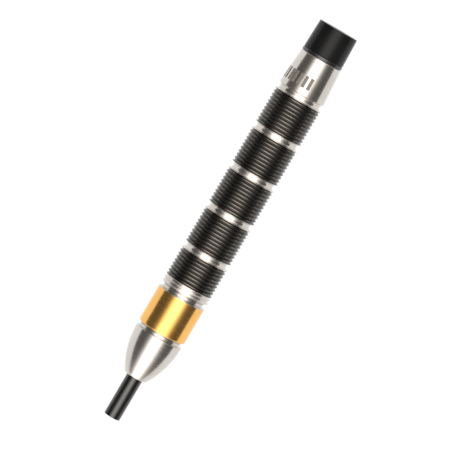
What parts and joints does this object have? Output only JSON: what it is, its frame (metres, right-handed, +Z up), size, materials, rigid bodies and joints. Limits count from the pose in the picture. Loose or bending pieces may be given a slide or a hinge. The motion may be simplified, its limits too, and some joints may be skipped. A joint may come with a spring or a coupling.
{
  "type": "steel-tip dart barrel",
  "caption": "Ringed steel-tip dart barrel with a bullet nose, a pressed-in point and a stem that unscrews from its tail; point and stem are stubs.",
  "frame": {"origin": "on the surface that the barrel lies on, below the middle of its length", "axes": "+X along the dart from the point to the stem, +Z up; the dart's axis is 3.56 mm above the surface"},
  "size_m": [0.0614, 0.0072, 0.0071],
  "materials": {
    "bare_tungsten": "satin",
    "black_coating": "satin",
    "gold_coating": "satin",
    "black_steel": "satin",
    "black_rubber": "satin",
    "black_nylon": "satin"
  },
  "bodies": {
    "barrel": {"barrel": "bare_tungsten", "point": "black_steel"},
    "o_ring": {"o_ring": "black_rubber"},
    "stem": {"stem": "black_nylon"}
  },
  "joints": [
    {"name": "stem_travel", "type": "slide", "parent": "barrel", "child": "o_ring", "axis": [1, 0, 0], "range_m": [0, 0.00567]},
    {"name": "stem_turn", "type": "hinge", "parent": "o_ring", "child": "stem", "pos_m": [0.02603, 0, 0.00356], "axis": [1, 0, 0], "range_deg": [0, 2520]}
  ],
  "couplings": [
    {"joint": "stem_turn", "follows": "stem_travel", "rad_per_m": 7757}
  ]
}
